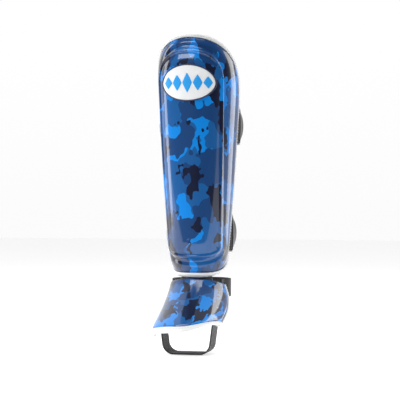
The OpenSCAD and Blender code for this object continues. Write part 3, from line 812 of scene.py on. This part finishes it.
for side, z in (("upper", upper_z), ("lower", lower_z)):
    half = strap_w / 2 - 0.004
    heights = [half * s for s in (-1, -0.97, -0.75, -0.5, -0.25, 0, 0.25, 0.5, 0.75, 0.97, 1)]
    thick = [0.4 if abs(h) > 0.98 * half else 1 for h in heights]
    top, low, prints, gone = [], [], [], 0.0
    for i, (past, t) in enumerate(band_route):
        before, after = band_route[max(0, i - 1)], band_route[min(len(band_route) - 1, i + 1)]
        gone += math.dist(band_route[i], band_route[i - 1]) if i else 0
        length = math.dist(before, after)
        nx, nt = -(after[1] - before[1]) / length * band_half_t, (after[0] - before[0]) / length * band_half_t
        top.append([on_band(z, h, past + nx * k, t + nt * k) for h, k in zip(heights, thick)])
        low.append([on_band(z, h, past - nx * k, t - nt * k) for h, k in zip(heights, thick)])
        prints.append([(gone, h) for h in heights])
    band = slab(side + "_strap_elastic", top, low, prints)
    band.data.materials.append(elastic)
    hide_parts(side + "_elastic")
    on_band(z, 0, 0.0026, -0.0015)
    on_band(z, 0, 0.0078, 0.0145)
    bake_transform(band)


# ------------------------------------------------------------------ instep cover
# A thinner pad of the same printed leather and foam covers the top of the foot. It is shaped over a
# last, lined with cloth, and its inner toe corner is cut back to clear the ball of the foot.
instep_reach, instep_drop, instep_t, toe_half, ankle_half = 0.146, 0.076, 0.008, 0.041, 0.030
top_y, top_z = -(leg_half(0) + 0.002 + rim_t + 0.001), -(binding_roll + 0.003)
bend_y, bend_z = top_y - 0.022, top_z - 0.026
tilt = math.radians(15)
side_limit = 96


def ridge_line(v):
    return tuple((1 - v) ** 2 * p + 2 * v * (1 - v) * q + v ** 2 * r
                 for p, q, r in ((top_y, bend_y, -instep_reach), (top_z, bend_z, -instep_drop)))


def foot_half(v):
    return mix(ankle_half + 0.005, toe_half, v) + 0.004 * math.sin(math.pi * v)


def foot_depth(v):
    return mix(ankle_half + 0.003, 0.030, v) + 0.028 * math.sin(math.pi * min(1, max(0, v)))


def on_instep(v, a, t):
    """The point v along the foot from the ankle, a degrees round from its top, t outside the foot space."""
    c, s = math.cos(math.radians(a)), math.sin(math.radians(a))
    w = v * (1 - 0.2 * max(0.0, s) ** 2)
    y, z = ridge_line(w)
    back = -t + (foot_depth(w) + t) * (1 - c)
    return ((foot_half(w) + t) * s, y + back * math.cos(tilt), z - back * math.sin(tilt))


edge_v, edge_a = 0.008 / 0.130, 9.0


def instep_full(v, a):
    return instep_t * mix(0.72, 1, smooth(min((1.02 - v) / 0.2, (side_limit + 4 - abs(a)) / 30)))


def plump(v, a):
    """How far the leather stands over the pad: it dips to a groove along the edge tape."""
    off = min((1 - v) / edge_v, (side_limit - abs(a)) / edge_a)
    return mix(-0.0008, 0.0012, smooth((off - 0.95) / 0.5)) * mix(0.5, 1, math.sin(math.pi * v))


lengths = [i / 30 for i in range(28)] + [0.91, 0.92, 0.93, 0.94, 0.95, 0.97, 1.0]
turns = [-side_limit, -90, -87, -85, -83]
turns += [mix(-80, 80, i / 40) for i in range(41)] + [83, 85, 87, 90, side_limit]
outer = [[on_instep(v, a, instep_full(v, a) + plump(v, a)) for a in turns] for v in lengths]
inner = [[on_instep(v, a, lining_t) for a in turns] for v in lengths]
prints = [[(math.radians(a) * 0.052 + 0.52, -0.13 * v + 0.05) for a in turns] for v in lengths]
instep_pad = slab("instep_cover_pad", outer, inner, prints)
instep_pad.data.materials.append(leather)
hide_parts("instep_cover", "instep_foam")
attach(instep_pad, "instep")

bare = [[on_instep(v, a, 0.0) for a in turns] for v in lengths]
instep_cloth = slab("instep_lining_cloth", inner, bare, prints)
instep_cloth.data.materials.append(cloth)
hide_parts("instep_lining")
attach(instep_cloth, "instep")


# ------------------------------------------------------------------ white edge tape of the instep
# The same white tape runs down one side of the instep, round the toe edge and up the other side.
around_toe = [(v, -side_limit, 0, 1) for v in [i / 20 for i in range(20)]]
around_toe += [(1.0, -side_limit, 1, 1)]
around_toe += [(1.0, mix(-side_limit, side_limit, i / 36), 1, 0) for i in range(1, 36)]
around_toe += [(1.0, side_limit, 1, 1)]
around_toe += [(v, side_limit, 0, 1) for v in [i / 20 for i in range(19, -1, -1)]]


def instep_tape_at(v, a, along, beside):
    way = 1 if a > 0 else -1

    def at(d, t):
        share = d / binding_w
        return on_instep(v - along * edge_v * share, a - way * beside * edge_a * share * 0.9, t)
    return at


instep_tape = sweep("instep_edge_tape",
                    [tape_loop(instep_tape_at(*q), instep_full(q[0], q[1]), 0.0) for q in around_toe], False)
instep_tape.data.materials.append(tape)
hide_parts("instep_binding")
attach(instep_tape, "instep")
seam = sew("instep_tape_stitches", [([instep_tape_at(*q)(binding_w * 0.55, instep_full(q[0], q[1]) + 0.0029)
                                      for q in around_toe], False)], thread, "instep")


# ------------------------------------------------------------------ ankle gusset
# A piece of black stretch knit is sewn inside the shin panel's lower edge and the instep's upper edge.
# It is the hinge between them.
knit_cloth, n, l, shader = finish_of("gusset_knit", (0.014, 0.015, 0.018), 0.9,
                                     Sheen_Weight=0.3, Sheen_Roughness=0.5)
courses = stripes(n, l, print_place(n, l), "X", 330, 1.5)
l.new(color_mix(n, l, courses, (0.008, 0.008, 0.010), (0.030, 0.031, 0.036)), shader.inputs["Base Color"])
raise_by(n, l, shader, courses, 0.0003)

gusset_t, gusset_clear = 0.0012, binding_t + 0.0004
spread = [mix(-58, 58, i / 28) for i in range(29)]


def gusset_point(a, f, t):
    """The point at angle a and share f of the way down the knit; its middle third crosses the gap."""
    if f < 0.33:
        return on_leg(math.radians(a), mix(0.014, 0.005, f / 0.33), t - gusset_clear)
    if f > 0.67:
        return on_instep(mix(0.01, 0.1, (f - 0.67) / 0.33), a, t - gusset_clear)
    share = (f - 0.33) / 0.34
    fold = 0.0015 * math.sin(math.pi * share)
    above = on_leg(math.radians(a), 0.005, t - gusset_clear - fold)
    below = on_instep(0.01, a, t - gusset_clear - fold)
    return tuple(mix(p, q, share) for p, q in zip(above, below))


downs = [i / 24 for i in range(25)]
knit_prints = [[(0.035 * f, math.radians(a) * 0.033) for a in spread] for f in downs]
gusset = slab("ankle_gusset_knit", [[gusset_point(a, f, 0.0) for a in spread] for f in downs],
              [[gusset_point(a, f, -gusset_t) for a in spread] for f in downs], knit_prints)
gusset.data.materials.append(knit_cloth)
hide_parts("ankle_gusset")
gusset_point(0, 0.30, 0.0)
gusset_point(0, 0.70, 0.0)
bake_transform(gusset)


# ------------------------------------------------------------------ elastics of the foot
# One black elastic band passes round the heel and one under the arch. Their ends are sewn inside the
# instep's side edges beneath small patches.
heel_z, heel_w, heel_half = top_z - 0.014, 0.028, 0.045
heel_in, heel_back = ankle_half + 0.007, leg_back(0) + 0.012


def webbing(name, line, width_of, node, body):
    """A ribbed elastic band along a line of (point, outward, across) with soft edges."""
    top, low, prints, gone = [], [], [], 0.0
    shares = (-1, -0.95, -0.75, -0.5, -0.25, 0, 0.25, 0.5, 0.75, 0.95, 1)
    half = width_of / 2
    for i, (p, out, side_way) in enumerate(line):
        gone += math.dist(p, line[i - 1][0]) if i else 0
        for grid, middle, rim in ((top, 1, 0.7), (low, 0, 0.3)):
            lifts = [rim if abs(s) > 0.97 else middle for s in shares]
            grid.append([tuple(p[k] + side_way[k] * half * s + out[k] * web_t * lift for k in range(3))
                         for s, lift in zip(shares, lifts)])
        prints.append([(gone, s * half) for s in shares])
    band = slab(name, top, low, prints)
    band.data.materials.append(elastic)
    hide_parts(node)
    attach(band, body)


def outward(points):
    """For each point of a flat line that runs clockwise round the leg, the unit vector to its left."""
    ways = []
    for i in range(len(points)):
        a, b = points[max(0, i - 1)], points[min(len(points) - 1, i + 1)]
        d = (b[0] - a[0], b[1] - a[1])
        size = math.hypot(*d)
        ways.append((-d[1] / size, d[0] / size))
    return ways


heel_start = 0.009
corners = [(-heel_in, -0.017), (-heel_in, -0.010), (-heel_in - 0.0015, -0.004), (-heel_half + 0.0015, 0.003)]
corners += [(heel_half * math.cos(math.pi * (1 - i / 20)),
             heel_start + (heel_back - heel_start) * math.sin(math.pi * i / 20)) for i in range(21)]
corners += [(-x, y) for x, y in reversed(corners[:4])]
track = rounded_line(corners, 3)
heel_line = [((x, y, heel_z), (ox, oy, 0), (0, 0, 1)) for (x, y), (ox, oy) in zip(track, outward(track))]
webbing("heel_elastic", heel_line, heel_w, "heel_strap", "instep")

arch_y, arch_w, arch_top, sole = -0.47 * instep_reach, 0.038, -instep_drop + 0.016, -0.116
arch_half, arch_round = foot_half(0.75) + 0.0006, 0.018
arch_sole = arch_half - 0.005
corners = [(-arch_half, arch_top)]
for i in range(7):
    c = math.radians(15 * i)
    corners.append((-arch_sole + arch_round - arch_round * math.cos(c),
                    sole + arch_round - arch_round * math.sin(c)))
corners += [(-x, z) for x, z in reversed(corners)]
track = rounded_line(corners, 4)
webbing("arch_elastic", [((x + ix * web_t, arch_y, z + iz * web_t), (-ix, 0, -iz), (0, 1, 0))
                         for (x, z), (ix, iz) in zip(track, outward(track))], arch_w, "arch_strap", "instep")

tab_leather, n, l, shader = finish_of("tab_leather", (0.020, 0.021, 0.024), 0.55)
raise_by(n, l, shader, speckle(n, l, own_place(n), 900, 3, 0.6), 0.00012)
dark_thread, n, l, shader = finish_of("dark_thread", (0.06, 0.06, 0.065), 0.6)
raise_by(n, l, shader, speckle(n, l, own_place(n), 2500, 2, 0.6), 0.00008)


def sewn_tab(name, node, middle, size):
    """A small patch with soft edges, sewn down with a box of stitches on its inner face."""
    bm = bmesh.new()
    bmesh.ops.create_cube(bm, size=1)
    for v in bm.verts:
        v.co = Vector([m + s * c for m, s, c in zip(middle, size, v.co)])
    bmesh.ops.bevel(bm, geom=bm.edges[:], offset=0.0004, segments=3, affect="EDGES", profile=0.5)
    mesh = bpy.data.meshes.new(name)
    bm.to_mesh(mesh)
    bm.free()
    tab = bpy.data.objects.new(name, mesh)
    collection.objects.link(tab)
    tab.data.materials.append(tab_leather)
    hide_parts(node)
    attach(tab, "instep")
    inner = middle[0] - math.copysign(size[0] / 2, middle[0])
    dy, dz = size[1] / 2 - 0.0013, size[2] / 2 - 0.0013
    box = [(inner, middle[1] + y, middle[2] + z) for y, z in ((-dy, -dz), (dy, -dz), (dy, dz), (-dy, dz))]
    stitch = sew(name + "_stitches", [(box, True)], dark_thread, "instep", 0.0022, 0.0017, 0.0005)


tab_t = 0.0012
for side, way in (("outer", -1), ("inner", 1)):
    sewn_tab(f"arch_tab_{side}", "arch_strap_tabs",
             (way * (arch_half - web_t - tab_t / 2 - 0.0004), arch_y, arch_top - 0.005),
             (tab_t, arch_w - 0.004, 0.010))
    sewn_tab(f"heel_tab_{side}", "heel_strap_tabs",
             (way * (heel_in - web_t - tab_t / 2), -0.0135, heel_z - 0.003), (tab_t, 0.007, heel_w - 0.008))


# ------------------------------------------------------------------ studio
# A pale floor, large soft lights at both sides, in front and above, and a camera level with the middle of
# the guard.
floor = bpy.data.objects.new("floor", bpy.data.meshes.new("floor"))
floor_z, floor_front, floor_far = -0.1165, -0.6, 6
floor_corners = [(x, y, floor_z) for x, y in ((-floor_far, floor_front), (floor_far, floor_front),
                                              (floor_far, floor_far), (-floor_far, floor_far))]
floor.data.from_pydata(floor_corners, [], [(0, 1, 2, 3)])
collection.objects.link(floor)
paper, n, l, shader = finish_of("studio_floor", (0.95, 0.95, 0.95), 0.8, Specular_IOR_Level=0.1,
                                Emission_Color=(1, 1, 1, 1), Emission_Strength=0.5)
floor.data.materials.append(paper)

lens = bpy.data.cameras.new("camera")
lens.lens = 126
camera = bpy.data.objects.new("camera", lens)
camera_turn, camera_far, camera_z = math.radians(14), 2.2, 0.118
camera.location = (camera_far * math.sin(camera_turn), -camera_far * math.cos(camera_turn), camera_z)
camera.rotation_euler = (math.pi / 2, 0, camera_turn)
collection.objects.link(camera)
bpy.context.scene.camera = camera
bpy.context.scene.view_settings.view_transform = "Standard"


def softbox(name, place, aim, size, power):
    light = bpy.data.lights.new(name, "AREA")
    light.shape, light.size, light.size_y, light.energy = "RECTANGLE", size[0], size[1], power
    obj = bpy.data.objects.new(name, light)
    obj.location = place
    obj.rotation_euler = Vector([p - q for p, q in zip(place, aim)]).to_track_quat("Z", "Y").to_euler()
    collection.objects.link(obj)


softbox("right_softbox", (1.19, 0.74, 0.20), (0, 0, 0.12), (0.75, 1.6), 16)
softbox("left_softbox", (-1.35, -0.10, 0.45), (0, 0, 0.10), (0.4, 1.4), 8)
softbox("front_fill", (-0.7, -2.0, 1.5), (0, 0, 0.12), (1.9, 1.2), 44)
softbox("top_softbox", (0.0, -0.2, 1.5), (0, 0, 0.2), (1.0, 0.5), 8)

# The room is white behind the guard, greyer to its right and dim in front, so that the glossy leather keeps
# its depth.
world = bpy.data.worlds.new("studio")
world.use_nodes = True
n, l = world.node_tree.nodes, world.node_tree.links
way = n.new("ShaderNodeSeparateXYZ")
l.new(n.new("ShaderNodeTexCoord").outputs["Generated"], way.inputs["Vector"])


def rising(value, low, high, dim, full):
    node = n.new("ShaderNodeMapRange")
    for socket, number in (("From Min", low), ("From Max", high), ("To Min", dim), ("To Max", full)):
        node.inputs[socket].default_value = number
    l.new(value, node.inputs["Value"])
    return node.outputs["Result"]


behind = math_node(n, l, "MULTIPLY", rising(way.outputs["Y"], -0.1, 0.3, 0.16, 1.0),
                   rising(way.outputs["X"], 0.0, 0.2, 1.0, 0.5))
above = math_node(n, l, "MULTIPLY", behind, rising(way.outputs["Z"], -0.01, 0.10, 0.97, 1.0))
l.new(above, n["Background"].inputs["Strength"])
n["Background"].inputs["Color"].default_value = (1, 1, 1, 1)
bpy.context.scene.world = world
